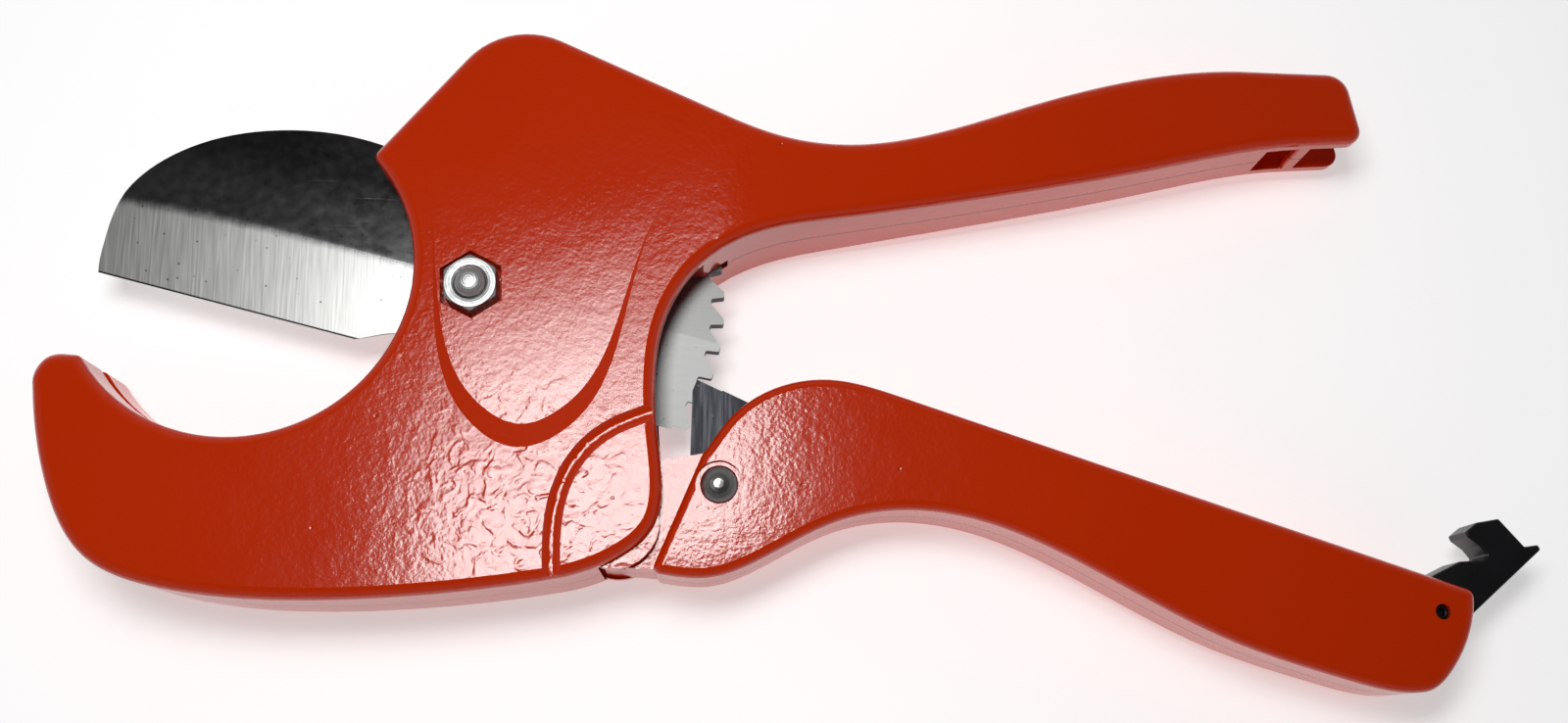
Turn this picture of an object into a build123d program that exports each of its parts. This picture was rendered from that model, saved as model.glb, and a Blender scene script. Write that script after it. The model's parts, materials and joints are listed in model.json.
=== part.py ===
"""Ratcheting pipe cutter for plastic pipe: two die-cast shells, a blade with a ratchet sector,
a pivoting lower handle that carries the drive pawl, and a plastic storage latch.

Everything is drawn about the blade pivot, with the tool lying on its side: X runs from the hook
towards the handles, Y from the hook towards the blade, and the shells meet at Z = 0.  place()
then moves each piece into the row frame, whose origin is the bottom centre of the whole tool.
Lengths are millimetres and angles are degrees.
"""
import os
from math import atan2, cos, degrees, hypot, radians, sin

from build123d import *

# --- Body -------------------------------------------------------------------------------------
BODY_HALF = 14.0            # half thickness of the closed body
GRIP_HALF = 9.5             # half thickness at the end of the fixed grip
SHELL_EDGE = 2.2            # rounding of the outside edges
CORNER_ROUNDING = 1.5       # rounding of the hook's tip and of the throat's upper corner
THROAT_CENTRE = (-45.5, 3.4)
THROAT_RADIUS = 33.9        # takes 63 mm pipe
HUMP_CORNER = (4.65, 57.85)
HUMP_RADIUS = 16.0
BLADE_SLOT_HALF = 1.95      # half width of the slot that the blade runs in
CAVITY_HALF = 10.3          # half width of the cavity that the lower handle swings in

# --- Blade and ratchet ------------------------------------------------------------------------
BLADE_HALF = 1.5
EDGE_TIP = (-77.2, 5.6)
EDGE_HEEL = (-24.9, -7.8)
GRIND_WIDTH = 17.8
EDGE_HALF = 0.12
BLADE_REACH = 79.0          # radius of the pocket that clears the blade's tip
TOOTH_RADIUS = 49.74
TOOTH_ROOT = 47.0
TOOTH_PITCH = 6.68
TOOTH_COUNT = 13
FIRST_TOOTH = 15.78         # direction of the uppermost tooth's tip
TOOTH_ROUNDING = 0.5
TIP_ROUNDING = 0.4
SLOT_RADIUS = 51.2          # radius of the pocket that clears the ratchet
BLADE_OPEN = -40.0
BLADE_CLOSED = 38.0

# --- Blade pivot ------------------------------------------------------------------------------
BOLT_RADIUS = 3.0
BUSH_RADIUS = 5.0
NUT_ACROSS = 10.0
NUT_HEIGHT = 5.0
NUT_CORNER = 93.0           # direction of one corner of the nut, its recess and the bolt head
CHAMFER_RADIUS = 4.8
CHAMFER_SLOPE = 1.75        # growth of the chamfer's radius per millimetre of height
NUT_RECESS_ACROSS = 12.0
NUT_SEAT = 9.0              # height of the recess floor
WASHER_HEIGHT = 1.2
BOLT_HEAD_HEIGHT = 4.0
BLADE_WASHER_RADIUS = 7.2

# --- Fits, as radial gaps, and the length that carries a cut clear through --------------------
PRESS_FIT = 0.01
PIN_FIT = 0.02
RUNNING_FIT = 0.05
LOOSE_FIT = 0.1
THROUGH = 20.0

# --- Lower handle and pawl --------------------------------------------------------------------
HANDLE_PIVOT = (29.0, -46.5)
HANDLE_HALF = 10.0
TONGUE_HALF = 8.2
HUB_RADIUS = 8.0
HANDLE_PIN_RADIUS = 4.0
HANDLE_PIN_HALF = 12.1
HANDLE_BUSH_RADIUS = 5.5
HANDLE_WASHER_RADIUS = 5.8
HANDLE_WASHER_HEIGHT = 0.2
HANDLE_CLOSED = 30.0
PAWL_PIVOT = (49.0, -38.5)
PAWL_TIP = (44.4, -16.5)
PAWL_BACK = (57.4, -22.6)
PAWL_HALF = 4.2
PAWL_SHEET = 1.5
PAWL_BOSS = 5.9             # radius of the side plates about the rivet
PAWL_RATIO = -1.82          # pawl turn per handle turn
RIVET_RADIUS = 1.7
RIVET_HEAD_RADIUS = 3.7
RIVET_RECESS_RADIUS = 4.6
RIVET_SEAT = 9.0            # height of the floor under each rivet head
PAWL_POCKET_HALF = 4.7
SECTOR_SLOT_HALF = 2.3
SLOT_STEPS = (-2.0, 6.0, 14.0, 22.0, HANDLE_CLOSED)     # handle turns that the slot is cut for
NOTCH_STEPS = (-2.0, 0.0, 10.0, 20.0, HANDLE_CLOSED)    # handle turns that the notch is cut for

# --- Latch ------------------------------------------------------------------------------------
LATCH_PIVOT = (189.3, -62.5)
LATCH_HALF = 4.0
LATCH_SLOT_HALF = 4.35
LATCH_PIN_RADIUS = 1.5
LATCH_BOSS = 5.6
LATCH_EDGE = 0.4
CROSSBAR = (171.76, 35.54)
CROSSBAR_RADIUS = 1.5
GRIP_SLOT_HALF = 5.5

# --- Joining hardware -------------------------------------------------------------------------
SCREW_SPOTS = [(10.0, 46.0), (-40.0, -51.0), (66.0, 23.5), (124.0, 35.0)]
SCREW_RADIUS = 2.0
SCREW_HEAD_RADIUS = 3.6
SCREW_HEAD_HEIGHT = 2.6
SCREW_SEAT = -5.5           # height of the floor under each screw head
DOWEL_SPOTS = [(-62.0, -47.5), (146.0, 40.0)]
DOWEL_RADIUS = 2.0
DOWEL_HALF = 4.9
STOP_PIN = (21.7, 37.6)
STOP_PIN_RADIUS = 2.5
PIN_DEPTH = 7.0             # depth of the blind seats on each side of the joint plane

# --- Return springs: (coil radius, wire radius, lowest and highest wire centre) ---------------
BLADE_SPRING = (8.9, 0.6, -4.5, -2.6)
HANDLE_SPRING = (6.6, 0.6, 5.7, 7.6)
SPRING_TURNS = 1.5
SPRING_ROOM = 0.5           # room for a coil to open and close in its seat

# --- Row frame: the bottom centre of the finished tool, seen from the blade pivot -------------
ROW_ORIGIN = (65.39, -11.86, -BODY_HALF)


def place(piece):
    """Move a finished piece, or each piece of a group, from the pivot frame into the row frame."""
    if isinstance(piece, list):
        return Compound(children=[place(single) for single in piece])
    return piece.moved(Location((-ROW_ORIGIN[0], -ROW_ORIGIN[1], -ROW_ORIGIN[2])))


def polar(radius, angle, centre=(0.0, 0.0)):
    return (centre[0] + radius * cos(radians(angle)), centre[1] + radius * sin(radians(angle)))


def turned(point, centre, angle):
    """A point turned about a centre."""
    dx, dy = point[0] - centre[0], point[1] - centre[1]
    return polar(hypot(dx, dy), degrees(atan2(dy, dx)) + angle, centre)


def heading(angle):
    return (cos(radians(angle)), sin(radians(angle)))


def curve(points, start, end):
    """A smooth curve through points that sets out and arrives in the given directions."""
    return Spline(points, tangents=[heading(start), heading(end)], tangent_scalars=(1.0, 1.0))


def slab(face, half):
    """A flat face thickened evenly about the joint plane."""
    return extrude(face, amount=half, both=True)


def rod(centre, radius, low, high):
    """A round bar along Z between two heights."""
    return Pos(centre[0], centre[1], (low + high) / 2) * Cylinder(radius, high - low)


def closed_face(*curves):
    """The flat face inside a chain of curves."""
    return make_face(Wire([edge for curve in curves for edge in curve.edges()]))


def nearest_vertex(face, point):
    return min(face.vertices(), key=lambda vertex: hypot(vertex.X - point[0], vertex.Y - point[1]))


def hexagon(across, angle):
    """A hexagon by its width across flats, with one corner at the given angle."""
    return Rot(0, 0, angle) * RegularPolygon(across / 2, 6, major_radius=False)


# --- Outlines ---------------------------------------------------------------------------------

def body_outline():
    """Side view of the closed body: hook, throat, hump and fixed grip."""
    hook_tip = polar(THROAT_RADIUS, -147.5, THROAT_CENTRE)
    throat_end = polar(THROAT_RADIUS, 43.4, THROAT_CENTRE)
    throat = ThreePointArc(hook_tip, polar(THROAT_RADIUS, -60.0, THROAT_CENTRE), throat_end)
    hump = FilletPolyline(throat_end, HUMP_CORNER, (50.0, 37.0), radius=HUMP_RADIUS)
    grip_top = curve([(50.0, 37.0), (62.0, 32.9), (76.0, 32.0), (90.0, 34.4), (115.0, 42.6),
                      (134.0, 48.0), (158.0, 50.9)], -24.7, 0)
    grip_end = FilletPolyline((158.0, 50.9), (180.5, 50.4), (183.4, 35.2), (170.0, 34.4),
                              radius=[5.0, 2.8])
    grip_under = curve([(170.0, 34.4), (140.0, 28.8), (100.0, 20.8), (72.0, 15.9), (57.0, 12.5),
                         (44.5, 4.8), (37.6, -7.5), (36.3, -17.0), (36.7, -27.5)], 184, -84)
    lobe = curve([(36.7, -27.5), (37.9, -38.0), (36.6, -46.8), (29.0, -53.6), (18.0, -57.3)], -84, 190)
    belly = curve([(18.0, -57.3), (-6.0, -60.4), (-30.0, -61.5), (-55.0, -59.3), (-69.4, -53.5),
                    (-77.9, -39.7), (-82.4, -20.4)], 190, 97)
    tip = curve([(-82.4, -20.4), (-79.8, -15.1), hook_tip], 97, -5)
    outline = closed_face(throat, hump, grip_top, grip_end, grip_under, lobe, belly, tip)
    outline = fillet(nearest_vertex(outline, hook_tip), CORNER_ROUNDING)
    return fillet(nearest_vertex(outline, throat_end), CORNER_ROUNDING)


def body_half_block():
    """The front half of the closed body, before anything is cut out of it.  The grip gets thinner
    towards its end, and the outside edges are rounded."""
    block = extrude(body_outline(), amount=BODY_HALF)
    thickness = closed_face(
        Polyline((190.0, GRIP_HALF), (190.0, 0.0), (-90.0, 0.0), (-90.0, BODY_HALF), (48.0, BODY_HALF)),
        curve([(48.0, BODY_HALF), (62.0, 13.2), (76.0, 11.9), (100.0, 10.7), (125.0, 10.0),
                (155.0, GRIP_HALF), (190.0, GRIP_HALF)], 0, 0))
    block &= extrude(Plane.XZ * thickness, amount=90.0, both=True)
    rim = block.edges().filter_by(lambda edge: edge.bounding_box().min.Z > GRIP_HALF - 1.0)
    return fillet(rim, SHELL_EDGE)


def blade_slot():
    """The flat pocket that the blade and its ratchet turn in, which opens into the throat, the
    upper front edge and the rear edge of the body."""
    first, last = FIRST_TOOTH + BLADE_CLOSED + 11.0, BLADE_OPEN - 80.0
    rim = [polar(90.0, angle) for angle in (first, 5.0, -55.0, last)]
    sector = make_face(Polyline((0, 0), *rim, close=True))
    closed_edge = BLADE_CLOSED + 75.4
    beyond_edge = Pos(*polar(-115.2, closed_edge)) * Rot(0, 0, closed_edge) * Rectangle(200.0, 400.0)
    behind_open_back = make_face(Polyline((5.6, 41.0), (-24.0, 72.6), polar(120.0, first + 20.0), rim[0],
                                          polar(41.4, first), close=True))
    cutting_side = Circle(BLADE_REACH) - beyond_edge - sector - behind_open_back
    ratchet_side = Circle(SLOT_RADIUS) & sector
    return slab((cutting_side + ratchet_side).clean(), BLADE_SLOT_HALF)


def handle_cavity():
    """The wide cavity in the rear of the body for the tongue of the lower handle and the pawl."""
    centre = HANDLE_PIVOT
    hub = Pos(*centre) * Circle(HUB_RADIUS + 0.9)
    swing = Pos(*centre) * Circle(17.5)
    swing &= make_face(Polyline(centre, polar(60, -48, centre), polar(60, 20, centre),
                                polar(60, 75, centre), polar(60, 130, centre), close=True))
    rear = make_face(Polyline((30.0, 5.7), (60.0, 5.7), (60.0, -60.0), (36.0, -60.0), (30.0, -38.0),
                              close=True))
    return slab(hub + swing + rear, CAVITY_HALF)


def ramp_recess():
    """The shallow U-shaped ramp in the face of a shell.  Its floor is part of a very large cylinder
    that leaves the face without an edge above the nut and is deepest at the bottom of the U."""
    depth, top, bottom = 1.4, 24.0, -27.6
    rim = closed_face(
        Line((44.0, top), (-10.5, top)),
        Spline([(-10.5, top), (-6.6, -8.0), (0.6, -27.0), (10.0, -32.4), (20.6, -27.8), (30.6, -4.5),
                (44.0, top)]))
    foot = closed_face(
        Line((40.0, top), (-7.5, top)),
        Spline([(-7.5, top), (-3.4, -8.0), (3.6, -23.9), (10.6, -27.6), (17.8, -24.2), (26.9, -4.5),
                (40.0, top)]))
    walls = loft([Pos(0, 0, BODY_HALF) * rim, Pos(0, 0, BODY_HALF - depth) * foot])
    bend = (top - bottom) ** 2 / (2 * depth)
    floor = Pos(16.0, top, BODY_HALF - bend) * Rot(0, 90, 0) * Cylinder(bend, 120.0)
    return walls - floor


def lobe_groove():
    """The rounded groove that marks off the lobe over the handle pivot."""
    radius, lift = 2.4, 1.65
    path = Spline([(40.5, -23.5), (34.6, -25.7), (28.0, -28.6), (22.0, -34.0), (18.4, -42.0),
                   (17.5, -50.0), (18.0, -60.0)])
    path = Pos(0, 0, BODY_HALF + lift) * path
    return sweep(Plane(path @ 0, z_dir=path % 0) * Circle(radius), path=path)


def grip_slot():
    """The slot in the end of the fixed grip that takes the latch, with the cast crossbar that the
    latch hooks over left standing in it."""
    opening = make_face(Polyline((163.5, 20.0), (190.0, 20.0), (190.0, 60.0), (173.5, 60.0),
                                 (173.5, 45.5), (163.5, 45.5), close=True))
    return slab(opening, GRIP_SLOT_HALF) - rod(CROSSBAR, CROSSBAR_RADIUS, -THROUGH, THROUGH)


def shell_blank():
    """What the two shells share, drawn with the outer face up."""
    blank = body_half_block() - blade_slot() - handle_cavity()
    blank += rod(HANDLE_PIVOT, HUB_RADIUS + 0.6, TONGUE_HALF + 0.3, CAVITY_HALF + 0.5)
    blank -= [ramp_recess(), lobe_groove(), grip_slot()]
    blank -= Pos(0, 0, NUT_SEAT) * extrude(hexagon(NUT_RECESS_ACROSS, NUT_CORNER), amount=THROUGH)
    blank -= rod((0, 0), BUSH_RADIUS + RUNNING_FIT, -1.0, PIN_DEPTH)
    blank -= rod((0, 0), BOLT_RADIUS + RUNNING_FIT, 0.0, THROUGH)
    blank -= rod(HANDLE_PIVOT, HANDLE_PIN_RADIUS + PRESS_FIT, -1.0, HANDLE_PIN_HALF + LOOSE_FIT)
    blank -= rod(STOP_PIN, STOP_PIN_RADIUS + PRESS_FIT, -1.0, PIN_DEPTH)
    blank -= [rod(spot, DOWEL_RADIUS + PIN_FIT, -1.0, DOWEL_HALF + LOOSE_FIT) for spot in DOWEL_SPOTS]
    return blank


def front_shell(blank):
    """The front shell has blind screw holes, and the anchor hole of the handle's spring."""
    blank = blank - [rod(spot, SCREW_RADIUS + PRESS_FIT, -1.0, PIN_DEPTH) for spot in SCREW_SPOTS]
    anchor = spring_end(HANDLE_PIVOT, HANDLE_SPRING, SPRING_TURNS)
    return blank - rod(anchor, HANDLE_SPRING[1] + LOOSE_FIT, TONGUE_HALF, CAVITY_HALF + 1.0)


def rear_shell(blank):
    """The rear shell takes the screw heads, and the blade's spring in a ring-shaped seat."""
    radius, wire, low, _ = BLADE_SPRING
    blank = mirror(blank, Plane.XY)
    blank -= [rod(spot, SCREW_RADIUS + 1.5 * LOOSE_FIT, -THROUGH, 1.0) for spot in SCREW_SPOTS]
    blank -= [rod(spot, SCREW_HEAD_RADIUS + 2 * LOOSE_FIT, -THROUGH, SCREW_SEAT) for spot in SCREW_SPOTS]
    seat = rod((0, 0), radius + wire + SPRING_ROOM, low - wire - 2 * LOOSE_FIT, 0.0)
    blank -= seat - rod((0, 0), radius - wire - SPRING_ROOM, -THROUGH, 1.0)
    return blank - rod((radius, 0), wire + LOOSE_FIT, low - 3.0, low)


# --- Blade and its pivot ----------------------------------------------------------------------

def tooth_gap(tip_angle):
    """The gap below one ratchet tooth: a nearly radial catch face, a round root and a sloping
    back that rises to the next tooth."""
    catch_foot, back_foot = polar(TOOTH_ROOT, tip_angle - 1.0), polar(TOOTH_ROOT, tip_angle - 2.3)
    gap = make_face(Polyline(polar(51.5, tip_angle - 0.45), catch_foot, back_foot,
                             polar(TOOTH_RADIUS - 0.1, tip_angle - TOOTH_PITCH + 0.75),
                             polar(51.5, tip_angle - TOOTH_PITCH + 0.3), close=True))
    return fillet([nearest_vertex(gap, catch_foot), nearest_vertex(gap, back_foot)], TOOTH_ROUNDING)


def blade():
    """The blade plate: cutting edge on the left, pivot hole, and ratchet teeth on the right."""
    last_tooth = FIRST_TOOTH - TOOTH_PITCH * (TOOTH_COUNT - 1)
    back = curve([EDGE_TIP, (-76.6, 11.5), (-73.6, 21.4), (-61.2, 32.2), (-44.2, 36.4), (-22.3, 33.8),
                   (4.0, 22.5), (28.0, 17.5), polar(44.0, FIRST_TOOTH + 2.0)], 94, -8)
    top_end = Line(polar(44.0, FIRST_TOOTH + 2.0), polar(TOOTH_RADIUS, FIRST_TOOTH + 1.2))
    rack = ThreePointArc(polar(TOOTH_RADIUS, FIRST_TOOTH + 1.2), polar(TOOTH_RADIUS, -25.0),
                         polar(TOOTH_RADIUS, last_tooth - 1.5))
    low_end = Line(polar(TOOTH_RADIUS, last_tooth - 1.5), polar(38.5, last_tooth - 4.0))
    belly = curve([polar(38.5, last_tooth - 4.0), (7.0, -26.0), (-6.0, -13.0), (-16.4, -6.6), EDGE_HEEL],
                  118, 186)
    outline = closed_face(back, top_end, rack, low_end, belly, Line(EDGE_HEEL, EDGE_TIP))
    tips = [FIRST_TOOTH - TOOTH_PITCH * tooth for tooth in range(TOOTH_COUNT)]
    for tip in tips:
        outline -= tooth_gap(tip)
    corners = [nearest_vertex(outline, polar(TOOTH_RADIUS, tip - 0.5)) for tip in tips]
    outline = fillet(corners, TIP_ROUNDING)
    plate = slab(outline, BLADE_HALF) - rod((0, 0), BUSH_RADIUS + RUNNING_FIT, -5.0, 5.0)
    radius, wire, _, _ = BLADE_SPRING
    anchor = spring_end((0, 0), BLADE_SPRING, SPRING_TURNS)
    plate -= rod(anchor, wire + LOOSE_FIT, -5.0, 0.3)
    return plate - grind(1) - grind(-1)


def grind(side):
    """The wedge that is ground off one face of the blade along its cutting edge."""
    edge_angle = degrees(atan2(EDGE_TIP[1] - EDGE_HEEL[1], EDGE_TIP[0] - EDGE_HEEL[0]))
    slope = degrees(atan2(BLADE_HALF - EDGE_HALF, GRIND_WIDTH))
    frame = Plane((EDGE_HEEL[0], EDGE_HEEL[1], side * EDGE_HALF), x_dir=(*heading(edge_angle), 0),
                  z_dir=(0, 0, side))
    wedge = Pos(0, 0, 5.0) * Box(160.0, 80.0, 10.0)
    return frame * (Rot(side * -slope, 0, 0) * wedge)


def spring_end(centre, spring, turns):
    """Where the upper end of a spring's coil stands, seen along Z."""
    return polar(spring[0], 360.0 * turns, centre)


def torsion_spring(centre, spring, turns, lower_leg, upper_leg):
    """A coil with both legs bent along Z into the holes that anchor it."""
    radius, wire, low, high = spring
    coil_path = Helix((high - low) / turns, high - low, radius)
    section = Plane(coil_path @ 0, z_dir=coil_path % 0) * Circle(wire)
    coil = sweep(section, path=coil_path, is_frenet=True)
    start, end = (radius, 0.0), polar(radius, 360.0 * turns)
    coil = Pos(0, 0, low) * coil
    coil += [Pos(*start, low) * Sphere(wire), Pos(*end, high) * Sphere(wire)]
    coil += [rod(start, wire, lower_leg, low), rod(end, wire, high, upper_leg)]
    return Pos(*centre) * coil


def ring(centre, inner, outer, low, high):
    return rod(centre, outer, low, high) - rod(centre, inner, low - 1.0, high + 1.0)


def chamfered_hexagon(low, height):
    """A hexagon prism whose upper corners are turned down to a cone."""
    prism = Pos(0, 0, low) * extrude(hexagon(NUT_ACROSS, NUT_CORNER), amount=height)
    cone = Cone(CHAMFER_RADIUS + CHAMFER_SLOPE * height, CHAMFER_RADIUS, height,
                align=(Align.CENTER, Align.CENTER, Align.MIN))
    return prism & (Pos(0, 0, low) * cone)


def pivot_bolt():
    """Hexagon bolt from the rear, with a domed end that stands out of the nut."""
    head = mirror(chamfered_hexagon(NUT_SEAT, BOLT_HEAD_HEIGHT), Plane.XY)
    top = NUT_SEAT + WASHER_HEIGHT + NUT_HEIGHT + 0.4
    end = Pos(0, 0, top) * Cone(BOLT_RADIUS, 1.2, 1.3, align=(Align.CENTER, Align.CENTER, Align.MIN))
    return head + rod((0, 0), BOLT_RADIUS, -NUT_SEAT, top) + end


def pivot_nut():
    """Hexagon nut with its outer corners turned down."""
    nut = chamfered_hexagon(NUT_SEAT + WASHER_HEIGHT, NUT_HEIGHT)
    return nut - rod((0, 0), BOLT_RADIUS + PIN_FIT, 0.0, THROUGH)


# --- Lower handle -----------------------------------------------------------------------------

def handle_outline():
    """Side view of the thick part of the lower handle, from its shoulder to the latch end."""
    top_corner, low_corner = (45.6, -32.6), (36.0, -55.6)
    end_top, end_low = (196.2, -58.3), (185.0, -77.7)
    head = curve([top_corner, (51.0, -25.2), (59.5, -19.2), (70.4, -17.2), (85.0, -20.6)], 52, -18.5)
    straight = Line((85.0, -20.6), end_top)
    end = curve([end_top, (195.2, -65.1), (190.7, -73.5), end_low], -86, 188)
    under = curve([end_low, (170.0, -75.5), (148.0, -68.2), (122.0, -54.7), (104.0, -46.4),
                   (87.0, -43.2), (72.0, -45.5), (57.0, -53.0), (47.0, -56.5), low_corner], 188, 172)
    outline = closed_face(head, straight, end, under, Line(low_corner, top_corner))
    for corner in (top_corner, low_corner, end_top):
        outline = fillet(nearest_vertex(outline, corner), CORNER_ROUNDING)
    return outline


def tongue_outline():
    """Side view of the thinner tongue that enters the body and turns on the handle pin."""
    arm = closed_face(Line((50.0, -56.0), (50.0, -31.5)), Line((50.0, -31.5), (37.7, -33.7)),
                      curve([(37.7, -33.7), (29.0, -38.5), (21.4, -44.0)], 190, 250),
                      Line((21.4, -44.0), (27.0, -54.3)), Line((27.0, -54.3), (50.0, -56.0)))
    return arm + Pos(*HANDLE_PIVOT) * Circle(HUB_RADIUS)


def lower_handle():
    """One casting: a rounded grip, a forked head for the pawl, and a tongue with two ears that
    pass on either side of the ratchet."""
    grip = slab(handle_outline(), HANDLE_HALF)
    rims = grip.edges().filter_by(lambda edge: abs(edge.center().Z) > HANDLE_HALF - 0.1)
    casting = fillet(rims, HANDLE_HALF - TONGUE_HALF) + slab(tongue_outline(), TONGUE_HALF)
    for turn in SLOT_STEPS:
        sector_path = Pos(*turned((0, 0), HANDLE_PIVOT, -turn)) * Circle(SLOT_RADIUS - 0.6)
        casting -= slab(sector_path, SECTOR_SLOT_HALF)
    pocket = Pos(*PAWL_PIVOT) * Circle(23.4)
    pocket &= make_face(Polyline((42.2, -42.5), (42.2, -10.0), (80.0, -10.0), (80.0, -43.8),
                                 (49.0, -43.8), close=True))
    pocket += Pos(*PAWL_PIVOT) * Circle(7.0)
    casting -= slab(pocket, PAWL_POCKET_HALF)
    latch_slot = make_face(Polyline((181.5, -40.0), (181.5, -62.0), (185.0, -69.6), (205.0, -69.6),
                                    (205.0, -40.0), close=True))
    casting -= slab(latch_slot, LATCH_SLOT_HALF)
    casting -= rod(HANDLE_PIVOT, HANDLE_BUSH_RADIUS, -THROUGH, THROUGH)
    casting -= rod(PAWL_PIVOT, RIVET_RADIUS + PIN_FIT, -THROUGH, THROUGH)
    casting -= rod(LATCH_PIVOT, LATCH_PIN_RADIUS + PIN_FIT, -THROUGH, THROUGH)
    for low, high in ((RIVET_SEAT, THROUGH), (-THROUGH, -RIVET_SEAT)):
        casting -= rod(PAWL_PIVOT, RIVET_RECESS_RADIUS, low, high)
    radius, wire, low, _ = HANDLE_SPRING
    casting -= rod(HANDLE_PIVOT, radius + wire + 2.4 * SPRING_ROOM, low - wire - LOOSE_FIT, THROUGH)
    anchor = polar(radius, 0.0, HANDLE_PIVOT)
    return casting - rod(anchor, wire + LOOSE_FIT, low - 2.6, low)


def handle_bushes():
    """A bronze sleeve in each ear of the tongue."""
    inner = HANDLE_PIN_RADIUS + RUNNING_FIT
    return [ring(HANDLE_PIVOT, inner, HANDLE_BUSH_RADIUS, SECTOR_SLOT_HALF, TONGUE_HALF),
            ring(HANDLE_PIVOT, inner, HANDLE_BUSH_RADIUS, -TONGUE_HALF, -SECTOR_SLOT_HALF)]


# --- Pawl -------------------------------------------------------------------------------------

def pawl():
    """Bent sheet channel: two side plates that straddle the ratchet, and a web across their back
    whose end is notched to clear the teeth."""
    front, foot, rear = [polar(PAWL_BOSS, angle, PAWL_PIVOT) for angle in (180.0, 270.0, 0.0)]
    side = closed_face(Polyline(rear, PAWL_BACK, PAWL_TIP, (43.5, -18.8), front),
                       ThreePointArc(front, foot, rear))
    slope = degrees(atan2(PAWL_BACK[1] - PAWL_TIP[1], PAWL_BACK[0] - PAWL_TIP[0]))
    inside = Pos(*PAWL_TIP) * Rot(0, 0, slope) * Pos(0, -PAWL_SHEET - 40.0) * Rectangle(160.0, 80.0)
    channel = slab(side, PAWL_HALF) - slab(inside, PAWL_HALF - PAWL_SHEET)
    for turn in NOTCH_STEPS:
        blade_centre = turned(turned((0, 0), HANDLE_PIVOT, -turn), PAWL_PIVOT, -PAWL_RATIO * turn)
        channel -= rod(blade_centre, TOOTH_RADIUS + 0.3, -BLADE_HALF - 0.7, BLADE_HALF + 0.7)
    return channel - rod(PAWL_PIVOT, RIVET_RADIUS + RUNNING_FIT, -THROUGH, THROUGH)


def pawl_spring():
    """Leaf spring on the back of the pawl's web, with an upturned tail."""
    slope = degrees(atan2(PAWL_BACK[1] - PAWL_TIP[1], PAWL_BACK[0] - PAWL_TIP[0]))
    start = polar(5.6, slope, PAWL_TIP)
    bend = polar(8.2, slope, start)
    tail = polar(2.6, slope + 38.0, bend)
    strip = offset(FilletPolyline(start, bend, tail, radius=1.5), amount=0.25, side=Side.BOTH)
    lift = polar(0.3, slope + 90.0)
    return Pos(*lift) * slab(make_face(strip), 2.6)


def dome_head(low):
    """A rivet head: a short rim with a spherical crown."""
    rim, drop = 0.5, 3.9
    ball = Pos(0, 0, low + rim - drop) * Sphere(hypot(RIVET_HEAD_RADIUS, drop))
    crown = ball & rod((0, 0), RIVET_HEAD_RADIUS, low + rim, low + 3.0)
    return crown + rod((0, 0), RIVET_HEAD_RADIUS, low, low + rim)


def pawl_rivet():
    """Domed rivet through the forked head of the handle."""
    head = dome_head(RIVET_SEAT)
    shank = rod((0, 0), RIVET_RADIUS, -RIVET_SEAT, RIVET_SEAT)
    return Pos(*PAWL_PIVOT) * (shank + head + mirror(head, Plane.XY))


# --- Latch ------------------------------------------------------------------------------------

def latch():
    """Moulded storage latch: a boss on its pin, a hook for the crossbar and a thumb tab."""
    reach = Polyline((185.2, -58.7), (191.2, -54.6), (196.6, -52.0), (201.2, -51.8), (202.3, -50.7),
                     (200.9, -48.8), (198.7, -47.1), (198.3, -46.1), (200.8, -44.2), (205.4, -43.4),
                     (210.1, -49.0), (212.9, -48.6), (213.3, -49.6), (192.9, -66.8))
    boss = ThreePointArc((192.9, -66.8), polar(LATCH_BOSS, 225, LATCH_PIVOT), (185.2, -58.7))
    outline = closed_face(reach, boss)
    outline = fillet(outline.vertices(), LATCH_EDGE)
    body = slab(outline, LATCH_HALF)
    rims = body.edges().filter_by(lambda edge: abs(edge.center().Z) > LATCH_HALF - 0.01)
    return fillet(rims, LATCH_EDGE) - rod(LATCH_PIVOT, LATCH_PIN_RADIUS + RUNNING_FIT, -THROUGH, THROUGH)


# --- Fasteners --------------------------------------------------------------------------------

def shell_screw(spot):
    """Socket-head screw driven from the rear."""
    screw = rod(spot, SCREW_RADIUS, SCREW_SEAT, PIN_DEPTH - 0.6)
    screw += rod(spot, SCREW_HEAD_RADIUS, SCREW_SEAT - SCREW_HEAD_HEIGHT, SCREW_SEAT)
    return screw - Pos(*spot, SCREW_SEAT - SCREW_HEAD_HEIGHT) * extrude(hexagon(3.0, 0.0), amount=1.6)


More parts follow.
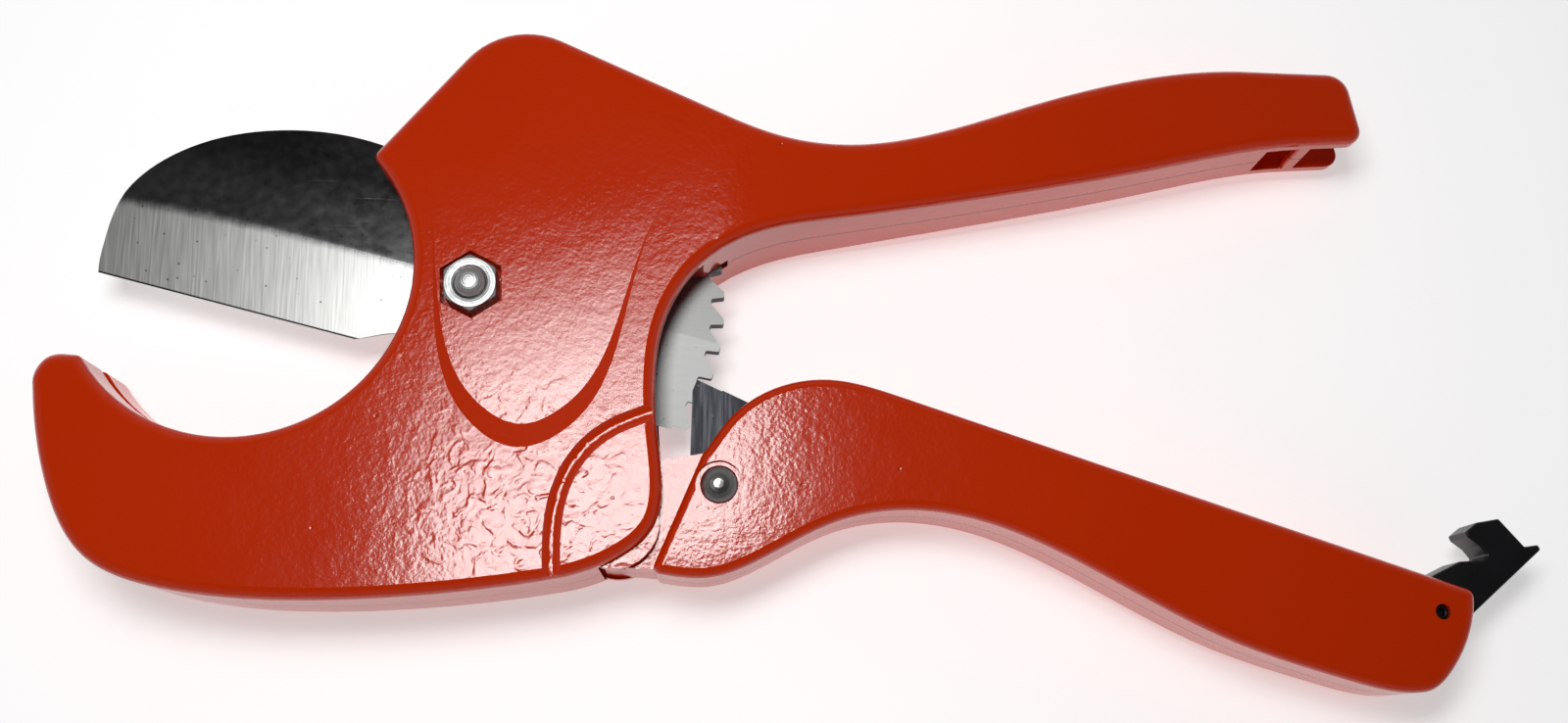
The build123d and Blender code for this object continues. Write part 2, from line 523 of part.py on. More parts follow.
def build():
    """Every piece of the tool by its node name."""
    blank = shell_blank()
    pin_end = PIN_DEPTH - LOOSE_FIT
    blade_washer = (0, 0), BUSH_RADIUS + LOOSE_FIT, BLADE_WASHER_RADIUS
    washer_faces = BLADE_HALF + RUNNING_FIT, BLADE_SLOT_HALF - PIN_FIT
    handle_washer = HANDLE_PIVOT, HANDLE_PIN_RADIUS + LOOSE_FIT, HANDLE_WASHER_RADIUS
    low = TONGUE_HALF + RUNNING_FIT
    high = low + HANDLE_WASHER_HEIGHT
    return {
        "front_shell": front_shell(blank),
        "rear_shell": rear_shell(blank),
        "blade": blade(),
        "blade_bush": ring((0, 0), BOLT_RADIUS + RUNNING_FIT, BUSH_RADIUS, -pin_end, pin_end),
        "blade_washer_front": ring(*blade_washer, *washer_faces),
        "blade_washer_rear": ring(*blade_washer, -washer_faces[1], -washer_faces[0]),
        "blade_spring": torsion_spring((0, 0), BLADE_SPRING, SPRING_TURNS, BLADE_SPRING[2] - 2.8, 0.0),
        "blade_stop_pin": rod(STOP_PIN, STOP_PIN_RADIUS, -pin_end, pin_end),
        "pivot_bolt": pivot_bolt(),
        "pivot_nut": pivot_nut(),
        "nut_washer": ring((0, 0), BOLT_RADIUS + LOOSE_FIT, NUT_ACROSS / 2 - LOOSE_FIT, NUT_SEAT,
                           NUT_SEAT + WASHER_HEIGHT),
        "shell_screws": [shell_screw(spot) for spot in SCREW_SPOTS],
        "shell_dowels": [rod(spot, DOWEL_RADIUS, -DOWEL_HALF, DOWEL_HALF) for spot in DOWEL_SPOTS],
        "handle_pin": rod(HANDLE_PIVOT, HANDLE_PIN_RADIUS, -HANDLE_PIN_HALF, HANDLE_PIN_HALF),
        "handle_washers": [ring(*handle_washer, low, high), ring(*handle_washer, -high, -low)],
        "handle_spring": torsion_spring(HANDLE_PIVOT, HANDLE_SPRING, SPRING_TURNS, HANDLE_SPRING[2] - 2.4,
                                        CAVITY_HALF + 0.7),
        "lower_handle": lower_handle(),
        "handle_bushes": handle_bushes(),
        "pawl": pawl(),
        "pawl_spring": pawl_spring(),
        "pawl_rivet": pawl_rivet(),
        "latch": latch(),
        "latch_pin": rod(LATCH_PIVOT, LATCH_PIN_RADIUS, -HANDLE_HALF + 0.8, HANDLE_HALF - 0.8),
    }


os.makedirs("parts", exist_ok=True)
for node, piece in build().items():
    export_step(place(piece), f"parts/{node}.step")
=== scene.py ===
"""Looks of the ratcheting pipe cutter: glossy orange castings, a ground steel blade with a brushed
ratchet sector, zinc-plated pivot hardware, a blackened pawl and a black moulded latch.

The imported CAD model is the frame.  Lengths are metres, and MM turns millimetres into them.
"""
import json
from math import atan2, cos, degrees, hypot, pi, radians, sin, tan

import bpy
import numpy as np
from mathutils import Matrix, Vector


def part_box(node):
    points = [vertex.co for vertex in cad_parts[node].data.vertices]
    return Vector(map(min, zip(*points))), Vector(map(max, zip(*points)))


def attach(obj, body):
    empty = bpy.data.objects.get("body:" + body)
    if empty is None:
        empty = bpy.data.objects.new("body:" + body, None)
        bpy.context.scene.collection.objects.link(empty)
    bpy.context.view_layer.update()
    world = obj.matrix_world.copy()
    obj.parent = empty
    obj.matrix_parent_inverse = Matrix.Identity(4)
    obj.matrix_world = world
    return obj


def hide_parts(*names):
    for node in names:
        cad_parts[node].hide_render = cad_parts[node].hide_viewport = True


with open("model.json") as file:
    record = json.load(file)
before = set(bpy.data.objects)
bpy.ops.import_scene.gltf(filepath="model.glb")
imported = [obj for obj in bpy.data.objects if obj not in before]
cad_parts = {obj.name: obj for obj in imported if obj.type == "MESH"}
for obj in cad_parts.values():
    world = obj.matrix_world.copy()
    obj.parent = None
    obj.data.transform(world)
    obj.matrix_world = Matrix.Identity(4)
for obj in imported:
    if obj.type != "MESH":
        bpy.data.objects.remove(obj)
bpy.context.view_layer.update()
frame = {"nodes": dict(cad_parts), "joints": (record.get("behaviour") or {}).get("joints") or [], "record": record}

MM = 0.001
JOINT_PLACE = {joint["name"]: Vector(joint["pos_m"]) for joint in frame["joints"]}
BLADE_PIVOT = JOINT_PLACE["blade_pivot"]
HANDLE_PIVOT = JOINT_PLACE["handle_pivot"]
PAWL_PIVOT = JOINT_PLACE["pawl_pivot"]
LATCH_PIVOT = JOINT_PLACE["latch_pivot"]
JOINT_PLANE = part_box("rear_shell")[1][2]

# The cutting edge, from the blade's pivot, and the shape of the bevel that is ground along it.
EDGE_HEEL = (-24.9 * MM, -7.8 * MM)
EDGE_TIP = (-77.2 * MM, 5.6 * MM)
BEVEL_WIDTH = 17.6 * MM     # at its widest, a quarter of the way along the edge from its heel
BEVEL_CREST = 0.25
BEVEL_SAG = 3.2 * MM


# --- Camera, lights and floor -----------------------------------------------------------------

def add_camera():
    """Looks down at the front face from a little below it."""
    right = Vector((0.998995, 0.0, 0.044817))
    up = Vector((-0.010895, 0.969994, 0.242861))
    back = Vector((-0.043472, -0.243105, 0.969020))
    camera_data = bpy.data.cameras.new("camera")
    camera_data.lens = 36.0
    camera_data.sensor_width = 36.0
    camera_data.clip_start = 0.01
    camera = bpy.data.objects.new("camera", camera_data)
    bpy.context.collection.objects.link(camera)
    turn = Matrix((right, up, back)).transposed().to_4x4()
    place = BLADE_PIVOT + Vector((48.09, -89.29, 310.08)) * MM
    camera.matrix_world = Matrix.Translation(place) @ turn
    bpy.context.scene.camera = camera


def add_window(place, target):
    """A soft window of panes in a row, bright at its near end and dim at its far one."""
    width, pane_height, slant = 0.158, 0.0234, radians(19.7)
    powers = (0.25, 0.24, 0.20, 0.135, 0.07, 0.025)
    back = (place - target).normalized()
    side = Vector((cos(slant), sin(slant), 0.0))
    side = (side - back * side.dot(back)).normalized()
    turn = Matrix((side, back.cross(side), back)).transposed().to_4x4()
    for number, power in enumerate(powers):
        pane_data = bpy.data.lights.new(f"window_pane_{number}", "AREA")
        pane_data.shape = "RECTANGLE"
        pane_data.size, pane_data.size_y = width, pane_height
        pane_data.energy = power
        pane = bpy.data.objects.new(pane_data.name, pane_data)
        bpy.context.collection.objects.link(pane)
        offset = (number - (len(powers) - 1) / 2) * pane_height / cos(slant)
        pane.matrix_world = Matrix.Translation(place + Vector((0.0, offset, 0.0))) @ turn


def add_room():
    """Dim overhead, so that the flat faces keep their colour, and bright towards the horizon."""
    world = bpy.data.worlds.new("room")
    bpy.context.scene.world = world
    world.use_nodes = True
    nodes, links = world.node_tree.nodes, world.node_tree.links
    coordinates = nodes.new("ShaderNodeTexCoord")
    axes = nodes.new("ShaderNodeSeparateXYZ")
    ramp = nodes.new("ShaderNodeValToRGB")
    links.new(coordinates.outputs["Generated"], axes.inputs[0])
    links.new(axes.outputs["Z"], ramp.inputs["Fac"])
    links.new(ramp.outputs["Color"], nodes["Background"].inputs["Color"])
    stops = ((0.0, 0.32), (0.45, 0.28), (0.75, 0.10), (0.90, 0.02))
    ramp.color_ramp.elements[0].position = stops[0][0]
    ramp.color_ramp.elements[0].color = (stops[0][1],) * 3 + (1.0,)
    ramp.color_ramp.elements[1].position = stops[-1][0]
    ramp.color_ramp.elements[1].color = (stops[-1][1],) * 3 + (1.0,)
    for position, level in stops[1:-1]:
        ramp.color_ramp.elements.new(position).color = (level,) * 3 + (1.0,)
    nodes["Background"].inputs["Strength"].default_value = 1.0


def add_floor():
    reach = 2.5
    corners = [(-reach, -reach, 0.0), (reach, -reach, 0.0), (reach, reach, 0.0), (-reach, reach, 0.0)]
    mesh = bpy.data.meshes.new("floor")
    mesh.from_pydata(corners, [], [(0, 1, 2, 3)])
    floor = bpy.data.objects.new("floor", mesh)
    bpy.context.collection.objects.link(floor)
    paper = Finish("pale_paper", base=(0.92, 0.92, 0.92), roughness=0.8,
                   Emission_Color=(1.0, 1.0, 1.0, 1.0), Emission_Strength=0.46)
    paper.colour(paper.blend(paper.noise(3.0), (0.91, 0.91, 0.91), (0.94, 0.94, 0.94)))
    mesh.materials.append(paper.material)


# --- Finishes ---------------------------------------------------------------------------------

class Finish:
    """A material whose pattern is worked out from Object coordinates, in metres."""

    def __init__(self, name, base, roughness, **settings):
        self.material = bpy.data.materials.new(name)
        self.material.use_nodes = True
        self.tree = self.material.node_tree
        self.shader = self.tree.nodes["Principled BSDF"]
        self.shader.inputs["Base Color"].default_value = (*base, 1.0)
        self.shader.inputs["Roughness"].default_value = roughness
        for socket, value in settings.items():
            self.shader.inputs[socket.replace("_", " ")].default_value = value
        self.object_place = self.node("ShaderNodeTexCoord").outputs["Object"]
        self.height = None

    def node(self, kind, **settings):
        node = self.tree.nodes.new(kind)
        for name, value in settings.items():
            setattr(node, name, value)
        return node

    def put(self, value, socket):
        """Link a socket, or set a number or a colour."""
        if isinstance(value, bpy.types.NodeSocket):
            self.tree.links.new(value, socket)
        elif isinstance(value, tuple) and len(value) == 3 and socket.type == "RGBA":
            socket.default_value = (*value, 1.0)
        else:
            socket.default_value = value

    def math(self, operation, first, second=0.0, third=0.0):
        node = self.node("ShaderNodeMath", operation=operation)
        for value, socket in zip((first, second, third), node.inputs):
            self.put(value, socket)
        return node.outputs[0]

    def placed(self, centre=(0.0, 0.0, 0.0), turn=0.0, scale=(1.0, 1.0, 1.0)):
        """Object coordinates from a centre, turned about Z by so many degrees, then stretched."""
        shift = self.node("ShaderNodeVectorMath", operation="SUBTRACT")
        self.put(self.object_place, shift.inputs[0])
        self.put(tuple(centre), shift.inputs[1])
        mapping = self.node("ShaderNodeMapping")
        self.put(shift.outputs[0], mapping.inputs["Vector"])
        self.put((0.0, 0.0, radians(turn)), mapping.inputs["Rotation"])
        self.put(scale, mapping.inputs["Scale"])
        return mapping.outputs[0]

    def axes(self, vector):
        return self.node_outputs("ShaderNodeSeparateXYZ", vector)

    def node_outputs(self, kind, value):
        node = self.node(kind)
        self.put(value, node.inputs[0])
        return node.outputs

    def noise(self, scale, detail=3.0, roughness=0.5, distortion=0.0, place=None):
        node = self.node("ShaderNodeTexNoise")
        self.put(place if place is not None else self.object_place, node.inputs["Vector"])
        self.put(scale, node.inputs["Scale"])
        self.put(detail, node.inputs["Detail"])
        self.put(roughness, node.inputs["Roughness"])
        self.put(distortion, node.inputs["Distortion"])
        return node.outputs["Fac"]

    def specks(self, scale, size, place=None):
        """1 inside small scattered dots and 0 between them."""
        node = self.node("ShaderNodeTexVoronoi")
        self.put(place if place is not None else self.object_place, node.inputs["Vector"])
        self.put(scale, node.inputs["Scale"])
        return self.step(node.outputs["Distance"], size, size * 0.5)

    def step(self, value, low, high):
        """0 at low and 1 at high, with a soft change between them."""
        node = self.node("ShaderNodeMapRange", interpolation_type="SMOOTHSTEP")
        self.put(value, node.inputs["Value"])
        self.put(low, node.inputs["From Min"])
        self.put(high, node.inputs["From Max"])
        return node.outputs["Result"]

    def span(self, value, low, high):
        """A 0 to 1 value stretched over low to high."""
        return self.math("MULTIPLY_ADD", value, high - low, low)

    def blend(self, share, first, second):
        """A colour between two others."""
        node = self.node("ShaderNodeMix", data_type="RGBA")
        self.put(share, node.inputs["Factor"])
        self.put(first, node.inputs[6])
        self.put(second, node.inputs[7])
        return node.outputs[2]

    def colour(self, value):
        self.put(value, self.shader.inputs["Base Color"])

    def roughness(self, value):
        self.put(value, self.shader.inputs["Roughness"])

    def relief(self, height, depth):
        """Raise the surface by a 0 to 1 height times a depth in metres, over any earlier relief."""
        bump = self.node("ShaderNodeBump")
        self.put(height, bump.inputs["Height"])
        bump.inputs["Distance"].default_value = depth
        if self.height is not None:
            self.put(self.height, bump.inputs["Normal"])
        self.height = bump.outputs["Normal"]
        self.put(self.height, self.shader.inputs["Normal"])


def near(finish, centre, reach, soft):
    """1 within a reach of a point, fading to 0 over a soft distance."""
    offset = finish.placed(centre)
    length = finish.node("ShaderNodeVectorMath", operation="LENGTH")
    finish.put(offset, length.inputs[0])
    return finish.step(length.outputs["Value"], reach + soft, reach)


def orange_coat():
    """Glossy orange powder coat with orange peel, a wrinkled patch round the lobe, small nibs, and a
    dark line where the two shells meet."""
    coat = Finish("orange_coat", base=(0.60, 0.027, 0.0003), roughness=0.10)
    patches = coat.noise(14.0, detail=2.0)
    base = coat.blend(patches, (0.60, 0.028, 0.0002), (0.66, 0.033, 0.0004))
    nibs = coat.specks(95.0, 0.045)
    base = coat.blend(coat.math("MULTIPLY", nibs, 0.5), base, (0.25, 0.012, 0.001))
    height = coat.axes(coat.object_place)[2]
    from_seam = coat.math("ABSOLUTE", coat.math("SUBTRACT", height, JOINT_PLANE))
    seam = coat.step(from_seam, 0.22 * MM, 0.08 * MM)
    coat.colour(coat.blend(seam, base, (0.05, 0.006, 0.002)))
    coat.roughness(coat.span(coat.noise(60.0), 0.10, 0.17))
    coat.relief(coat.noise(1300.0, detail=1.0), 0.022 * MM)
    coat.relief(coat.noise(560.0, detail=2.0), 0.042 * MM)
    coat.relief(coat.noise(170.0, detail=1.0), 0.030 * MM)
    wrinkled = near(coat, HANDLE_PIVOT + Vector((-15 * MM, 6 * MM, 14 * MM)), 8 * MM, 24 * MM)
    blisters = coat.step(coat.noise(330.0, detail=1.0, distortion=0.9), 0.38, 0.82)
    coat.relief(coat.math("MULTIPLY", blisters, wrinkled), 0.065 * MM)
    coat.relief(coat.math("MULTIPLY", nibs, -1.0), 0.04 * MM)
    coat.relief(coat.math("MULTIPLY", seam, -1.0), 0.12 * MM)
    return coat.material


def blade_steel():
    """Polished plate, painted darker towards its back as a painted reflection, a satin ground bevel along the
    cutting edge with fine lines across it, and a brushed ratchet sector behind the pivot. Painted shade darkens a
    thin line along the cutting edge and every face that stands sideways."""
    steel = Finish("blade_steel", base=(0.5, 0.5, 0.5), roughness=0.3, Metallic=1.0)
    along_x, along_y = EDGE_TIP[0] - EDGE_HEEL[0], EDGE_TIP[1] - EDGE_HEEL[1]
    heel = BLADE_PIVOT + Vector((*EDGE_HEEL, 0.0))
    edge_turn = 180.0 - degrees(atan2(along_y, along_x))
    ruled = steel.placed(heel, turn=edge_turn)
    along, across, _ = steel.axes(ruled)
    along = steel.math("MULTIPLY", along, -1.0)
    share = steel.math("DIVIDE", along, hypot(along_x, along_y))
    from_crest = steel.math("SUBTRACT", share, BEVEL_CREST)
    sag = steel.math("MULTIPLY", steel.math("POWER", from_crest, 2.0), BEVEL_SAG)
    boundary = steel.math("SUBTRACT", BEVEL_WIDTH, sag)
    wave = steel.math("MULTIPLY", steel.math("SUBTRACT", steel.noise(260.0), 0.5), 1.6 * MM)
    into_plate = steel.math("ADD", steel.math("SUBTRACT", across, boundary), wave)
    polished = steel.step(into_plate, -1.8 * MM, 1.4 * MM)
    front = steel.step(steel.axes(steel.object_place)[0], BLADE_PIVOT.x + 6 * MM, BLADE_PIVOT.x)
    polished = steel.math("MULTIPLY", polished, front)
    across_edge = steel.placed(heel, turn=edge_turn, scale=(2600.0, 90.0, 90.0))
    lines = steel.noise(1.0, detail=2.0, place=across_edge)
    brushed = steel.noise(1.0, detail=2.0, place=steel.placed(BLADE_PIVOT, scale=(70.0, 1800.0, 70.0)))
    grain = steel.math("ADD", steel.math("MULTIPLY", lines, front),
                       steel.math("MULTIPLY", brushed, steel.math("SUBTRACT", 1.0, front)))
    bevel = steel.blend(grain, (0.46, 0.46, 0.45), (0.78, 0.78, 0.76))
    sector = steel.blend(grain, (0.20, 0.205, 0.20), (0.36, 0.365, 0.36))
    ground = steel.blend(front, sector, bevel)
    # Painted reflection: the polished plate is painted darker from 22 to 34 mm behind the cutting edge, standing
    # in for the dark overhead that it mirrors.
    dark_reflection_share = steel.step(across, 22 * MM, 34 * MM)
    plate = steel.blend(dark_reflection_share, (0.34, 0.34, 0.345), (0.14, 0.14, 0.145))
    base = steel.blend(polished, ground, plate)
    stain = steel.math("MULTIPLY", steel.step(steel.noise(45.0), 0.55, 0.8), 0.5)
    base = steel.blend(stain, base, (0.30, 0.29, 0.27))
    dirt = steel.specks(330.0, 0.10)
    base = steel.blend(steel.math("MULTIPLY", dirt, 0.75), base, (0.04, 0.035, 0.03))
    # Painted shade: a thin near-black line on the bevel, within 0.45 mm of the cutting edge.
    painted_edge_shade = steel.math("MULTIPLY", steel.step(across, 0.45 * MM, 0.2 * MM), front)
    base = steel.blend(painted_edge_shade, base, (0.02, 0.02, 0.02))
    # Painted shade: every face whose normal stands sideways, such as the walls round the edge and the teeth, is
    # painted near black by the direction it faces.
    normal = steel.node("ShaderNodeNewGeometry").outputs["Normal"]
    facing = steel.math("ABSOLUTE", steel.axes(normal)[2])
    painted_wall_shade = steel.step(facing, 0.6, 0.3)
    steel.colour(steel.blend(painted_wall_shade, base, (0.05, 0.05, 0.055)))
    satin = steel.math("ADD", steel.span(grain, 0.30, 0.42), steel.span(front, 0.14, 0.0))
    satin = steel.math("MULTIPLY", satin, steel.math("SUBTRACT", 1.0, polished))
    mirror = steel.math("MULTIPLY", steel.span(steel.noise(500.0), 0.12, 0.24), polished)
    steel.roughness(steel.math("ADD", satin, mirror))
    steel.relief(grain, 0.006 * MM)
    scratch_place = steel.placed(BLADE_PIVOT, turn=24.0, scale=(40.0, 900.0, 40.0))
    scratches = steel.step(steel.noise(1.0, detail=1.0, place=scratch_place), 0.70, 0.78)
    steel.relief(steel.math("MULTIPLY", scratches, -1.0), 0.01 * MM)
    return steel.material


def turned_metal(name, centre, light, dark, roughness, pitch):
    """Plated or polished metal with fine concentric marks about a vertical axis."""
    metal = Finish(name, base=light, roughness=roughness, Metallic=1.0)
    x, y, _ = metal.axes(metal.placed(centre))
    square = metal.math("ADD", metal.math("POWER", x, 2.0), metal.math("POWER", y, 2.0))
    radius = metal.math("SQRT", square)
    wobble = metal.math("MULTIPLY", metal.noise(700.0), 0.2 * MM)
    turns = metal.math("DIVIDE", metal.math("ADD", radius, wobble), pitch)
    rings = metal.span(metal.math("SINE", metal.math("MULTIPLY", turns, 2 * pi)), 0.5, 1.0)
    patches = metal.noise(900.0, detail=3.0)
    metal.colour(metal.blend(metal.math("MULTIPLY", rings, patches), light, dark))
    metal.roughness(metal.span(patches, roughness * 0.7, roughness * 1.5))
    metal.relief(rings, 0.012 * MM)
    metal.relief(patches, 0.03 * MM)
    return metal.material


def plain_steel(name="plain_steel", light=(0.55, 0.55, 0.56), dark=(0.36, 0.36, 0.38), roughness=0.3):
    """Drawn or rolled steel with fine lines along it."""
    metal = Finish(name, base=light, roughness=roughness, Metallic=1.0)
    drawn = metal.noise(1.0, detail=3.0, place=metal.placed(scale=(1800.0, 1800.0, 120.0)))
    metal.colour(metal.blend(drawn, light, dark))
    metal.roughness(metal.span(metal.noise(300.0), roughness * 0.75, roughness * 1.3))
    metal.relief(drawn, 0.01 * MM)
    return metal.material


def blackened_steel():
    """Blackened sheet with a brushed side, worn bright in small spots."""
    metal = Finish("blackened_steel", base=(0.05, 0.052, 0.06), roughness=0.45, Metallic=0.9)
    along_pawl = metal.placed(PAWL_PIVOT, turn=-12.0, scale=(1500.0, 90.0, 90.0))
    brushing = metal.noise(1.0, detail=3.0, place=along_pawl)
    base = metal.blend(metal.step(brushing, 0.35, 0.75), (0.015, 0.016, 0.019), (0.075, 0.078, 0.088))
    worn = metal.step(metal.noise(650.0, detail=4.0), 0.66, 0.76)
    metal.colour(metal.blend(metal.math("MULTIPLY", worn, 0.4), base, (0.16, 0.16, 0.16)))
    metal.roughness(metal.span(brushing, 0.36, 0.55))
    metal.relief(brushing, 0.012 * MM)
    return metal.material


def black_plastic():
    """Moulded black nylon, faintly grained, with dust in it."""
    plastic = Finish("black_plastic", base=(0.005, 0.0055, 0.006), roughness=0.35)
    grain = plastic.noise(1300.0, detail=2.0)
    base = plastic.blend(grain, (0.003, 0.0033, 0.004), (0.007, 0.0075, 0.009))
    dust = plastic.specks(420.0, 0.05)
    plastic.colour(plastic.blend(plastic.math("MULTIPLY", dust, 0.5), base, (0.22, 0.22, 0.22)))
    plastic.roughness(plastic.span(plastic.noise(120.0), 0.26, 0.46))
    plastic.relief(grain, 0.012 * MM)
    plastic.relief(plastic.noise(160.0), 0.06 * MM)
    return plastic.material


# --- Shapes -----------------------------------------------------------------------------------

def skin(name, grid, poles):
    """A closed skin over a grid of rings.  With poles, the first and the last ring have shrunk to a
    point; without, the last ring joins the first."""
    rings, around = grid.shape[:2]
    if poles:
        points = np.concatenate([grid[0, :1], grid[1:-1].reshape(-1, 3), grid[-1, :1]])
        index = 1 + np.arange((rings - 2) * around).reshape(rings - 2, around)
        low, high = index[:-1], index[1:]
    else:
        points = grid.reshape(-1, 3)
        index = np.arange(rings * around).reshape(rings, around)
        low, high = index, np.roll(index, -1, axis=0)
    quads = np.stack([low, np.roll(low, -1, axis=1), np.roll(high, -1, axis=1), high], axis=-1)
    quads = quads.reshape(-1, 4)
    triangles = np.concatenate([quads[:, [0, 1, 2]], quads[:, [0, 2, 3]]])
    faces = quads.tolist()
    if poles:
        start = np.stack([np.zeros(around, int), np.roll(index[0], -1), index[0]], axis=-1)
        end = np.stack([np.full(around, len(points) - 1), index[-1], np.roll(index[-1], -1)], axis=-1)
        triangles = np.concatenate([triangles, start, end])
        faces += start.tolist() + end.tolist()
    a, b, c = (points[triangles[:, corner]] for corner in range(3))
    if np.einsum("ij,ij->", a, np.cross(b, c)) < 0:
        faces = [face[::-1] for face in faces]
    mesh = bpy.data.meshes.new(name)
    mesh.from_pydata(points.tolist(), [], faces)
    mesh.shade_smooth()
    mesh.set_sharp_from_angle(angle=radians(32.0))
    piece = bpy.data.objects.new(name, mesh)
    bpy.context.collection.objects.link(piece)
    return piece


def lathe(name, centre, profile, around=96, poles=True, radius_at=None):
    """A profile of (radius, height) in millimetres turned about a vertical axis.  radius_at may
    change the radius by direction and height, as for a hexagon or a thread."""
    profile = np.array(profile, float)
    angle = np.linspace(0.0, 2 * pi, around, endpoint=False)
    radius = np.repeat(profile[:, :1], around, axis=1)
    height = np.repeat(profile[:, 1:], around, axis=1)
    if radius_at is not None:
        radius, height = radius_at(radius, height, angle[None, :])
    grid = np.stack([radius * np.cos(angle), radius * np.sin(angle), height], axis=-1) * MM
    return skin(name, grid + np.array((centre[0], centre[1], 0.0)), poles)


def hexagon_radius(across, angle, corner, rounding):
    """Distance from the axis to a hexagon's wall in each direction, with its corners rounded off."""
    half_side = pi / 6
    from_flat = (angle - corner + 2 * half_side) % (2 * half_side) - half_side
    return np.minimum(across / 2 / np.cos(from_flat), across / 2 / cos(half_side) - rounding)


def finish_piece(piece, body, node, material):
    piece.data.materials.append(material)
    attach(piece, body)
    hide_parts(node)


# --- Pieces -----------------------------------------------------------------------------------

# Millimetres.  A profile radius from WALL_START to WALL_END isn't a distance: it runs from the rim
# of the flat face, at WALL_START, to the hexagon's wall, at WALL_END.
NUT_ACROSS = 10.0
NUT_CORNER = radians(93.0)
CHAMFER_SLOPE = tan(radians(28.0))
CORNER_ROUNDING = 0.12
WALL_START, WALL_END = 9.0, 10.0
BOLT_RADIUS = 3.0
BOLT_HEAD_HEIGHT = 4.0
THREAD_PITCH = 1.0
THREAD_DEPTH = 0.22


def chamfered_hexagon(radius, height, angle, face_radius, low, high):
    """Rows from WALL_START on stand between the flat face's rim and the hexagon's wall, and their
    heights are cut back by the cone that chamfers the corners: the further out from the rim, the
    deeper, by CHAMFER_SLOPE."""
    wall = hexagon_radius(NUT_ACROSS, angle, NUT_CORNER, CORNER_ROUNDING)
    outer = radius >= WALL_START
    start = np.minimum(face_radius, wall)
    share = np.clip(radius - WALL_START, 0.0, WALL_END - WALL_START)
    reach = np.where(outer, start + (wall - start) * share, np.minimum(radius, start))
    fall = np.clip(reach - face_radius, 0.0, None) * CHAMFER_SLOPE
    cut = np.clip(height, low + fall, high - fall)
    return reach, np.where(outer, cut, height)


def pivot_nut(zinc):
    """Hexagon nut: a profile turned about the pivot, with a countersunk bore and a flat face.  Its
    outer rows stand at half the width across flats, divided by the cosine of the angle from the
    nearest flat, and a cone turns its corners down."""
    low, high = (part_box("pivot_nut")[end][2] / MM for end in (0, 1))
    bore, face = 3.05, 5.0
    profile = [(bore, low + 0.4), (bore, high - 0.55), (bore + 0.12, high - 0.38),
               (bore + 0.42, high - 0.06), (bore + 0.55, high), (4.3, high), (4.75, high)]
    profile += [(mark, high) for mark in np.linspace(WALL_START, WALL_END, 5)]
    profile += [(WALL_END, high - 1.6), (WALL_END, low + 1.6)]
    profile += [(mark, low) for mark in np.linspace(WALL_END, WALL_START, 3)]
    profile += [(bore + 0.4, low)]
    nut = lathe("nut", BLADE_PIVOT, profile, around=180, poles=False,
                radius_at=lambda r, h, a: chamfered_hexagon(r, h, a, face, low, high))
    finish_piece(nut, "body", "pivot_nut", zinc)


def pivot_bolt(zinc):
    """Hexagon bolt: chamfered head at the rear, shank, and a threaded end with a pressed dome.  The
    thread's radius falls by half its depth times one plus the cosine of the turns along it, which
    are the height over the pitch less the direction as a share of a full turn."""
    low, high = (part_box("pivot_bolt")[end][2] / MM for end in (0, 1))
    seat = low + BOLT_HEAD_HEIGHT
    face, clear_of_seat = 4.85, seat + BOLT_HEAD_HEIGHT
    head = [(0.0, low), (3.6, low), (4.4, low), (WALL_START, low), (9.3, low), (9.6, low),
            (WALL_END, low), (WALL_END, low + 1.2), (WALL_END, seat), (4.4, seat),
            (BOLT_RADIUS, seat), (BOLT_RADIUS, seat + 6.0)]
    thread = [(BOLT_RADIUS, z) for z in np.linspace(seat + 12.0, high - 1.35, 120)]
    dome = [(2.75, high - 1.05), (2.45, high - 0.62), (2.05, high - 0.3), (1.5, high - 0.1),
            (0.8, high - 0.02), (0.0, high)]
    profile = head + thread + dome
    row = np.arange(len(profile))[:, None]
    on_thread = (row >= len(head)) & (row < len(head) + len(thread))

    def shape(radius, height, angle):
        reach, height = chamfered_hexagon(radius, height, angle, face, low, clear_of_seat)
        turn = (height / THREAD_PITCH - angle / (2 * pi)) % 1.0
        groove = THREAD_DEPTH * (0.5 + 0.5 * np.cos(2 * pi * turn))
        return np.where(on_thread, reach - groove, reach), height

    bolt = lathe("bolt", BLADE_PIVOT, profile, around=120, radius_at=shape)
    finish_piece(bolt, "body", "pivot_bolt", zinc)


def both_ends(rows, low, high):
    """A profile from its upper end, followed by its mirror image below the middle height."""
    return rows + [(radius, low + high - height) for radius, height in reversed(rows)]


def pawl_rivet(polished):
    """Rivet with two low domed heads: each dome is an arc of the circle whose radius is the sum of
    the squares of the head's radius and the crown's height, over twice that height, and it ends in
    a short rounded rim."""
    low, high = (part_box("pawl_rivet")[end][2] / MM for end in (0, 1))
    head, rim, crown, shank = 3.7, 0.45, 1.48, 1.75
    arc_end, rim_rounding = 0.985, 0.12
    bulge = (head ** 2 + crown ** 2) / (2 * crown)
    radius = head * np.sin(np.linspace(0.0, 1.0, 22) * pi / 2) * arc_end
    rise = np.sqrt(bulge ** 2 - radius ** 2) - (bulge - crown)
    top = high - crown
    rows = [(r, top + h) for r, h in zip(radius, rise)]
    rows += [(head, top - rim_rounding), (head, top - rim), (shank, top - rim)]
    rivet = lathe("rivet", PAWL_PIVOT, both_ends(rows, low, high), around=96)
    finish_piece(rivet, "handle", "pawl_rivet", polished)


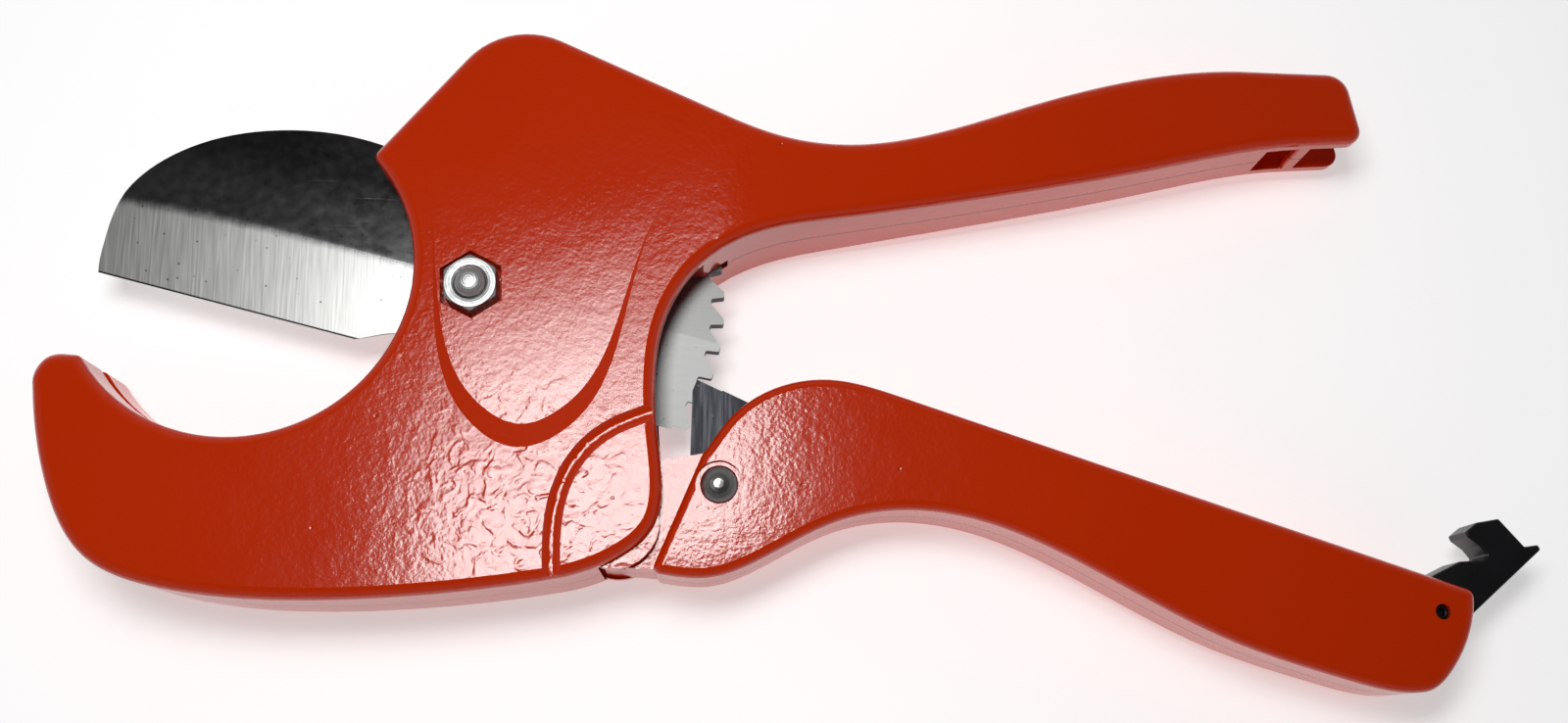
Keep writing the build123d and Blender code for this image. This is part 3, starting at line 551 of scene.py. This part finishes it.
def latch_pin(dark):
    """Short roll pin whose ends stand a little inside the handle's faces: a profile turned about
    the latch's pivot, with a dimple in the middle of each end and a chamfer round it."""
    low, high = (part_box("latch_pin")[end][2] / MM for end in (0, 1))
    rows = [(0.0, high - 1.0), (0.55, high - 0.95), (0.75, high - 0.5), (0.8, high - 0.06),
            (0.95, high), (1.2, high), (1.42, high - 0.12), (1.5, high - 0.4)]
    pin = lathe("latch_roll_pin", LATCH_PIVOT, both_ends(rows, low, high), around=64)
    finish_piece(pin, "handle", "latch_pin", dark)


def dress_nodes(finishes):
    """Give each CAD node that is shown as it is the finish of its material slot."""
    slot_of = {part["node"]: part["material_slot"] for part in frame["record"]["subparts"]}
    for name, node in frame["nodes"].items():
        node.data.materials.clear()
        node.data.materials.append(finishes[slot_of[name]])


def main():
    add_camera()
    add_room()
    add_floor()
    shine = BLADE_PIVOT + Vector((27.7, -26.9, 14.0)) * MM
    add_window(BLADE_PIVOT + Vector((-5.0, 54.5, 414.0)) * MM, shine)
    steel = plain_steel()
    zinc = turned_metal("zinc", BLADE_PIVOT, (0.60, 0.61, 0.60), (0.26, 0.265, 0.27),
                        roughness=0.40, pitch=0.5 * MM)
    rivet = turned_metal("rivet_steel", PAWL_PIVOT, (0.46, 0.45, 0.43), (0.30, 0.29, 0.28),
                         roughness=0.22, pitch=0.9 * MM)
    dark = plain_steel("dark_steel", (0.06, 0.06, 0.062), (0.03, 0.03, 0.032), 0.35)
    bronze = plain_steel("bronze", (0.55, 0.34, 0.16), (0.36, 0.21, 0.10), 0.4)
    spring = plain_steel("spring_steel", (0.20, 0.20, 0.21), (0.10, 0.10, 0.11), 0.3)
    finishes = {"orange_coat": orange_coat(), "blade_steel": blade_steel(), "plain_steel": steel,
                "spring_steel": spring, "zinc": zinc, "black_steel": dark, "rivet_steel": rivet,
                "bronze": bronze, "black_plastic": black_plastic()}
    dress_nodes(finishes)
    blackened = blackened_steel()
    frame["nodes"]["pawl"].data.materials[0] = blackened
    frame["nodes"]["pawl_spring"].data.materials[0] = blackened
    pivot_nut(zinc)
    pivot_bolt(zinc)
    pawl_rivet(rivet)
    latch_pin(dark)
    bpy.context.scene.view_settings.view_transform = "Standard"


main()
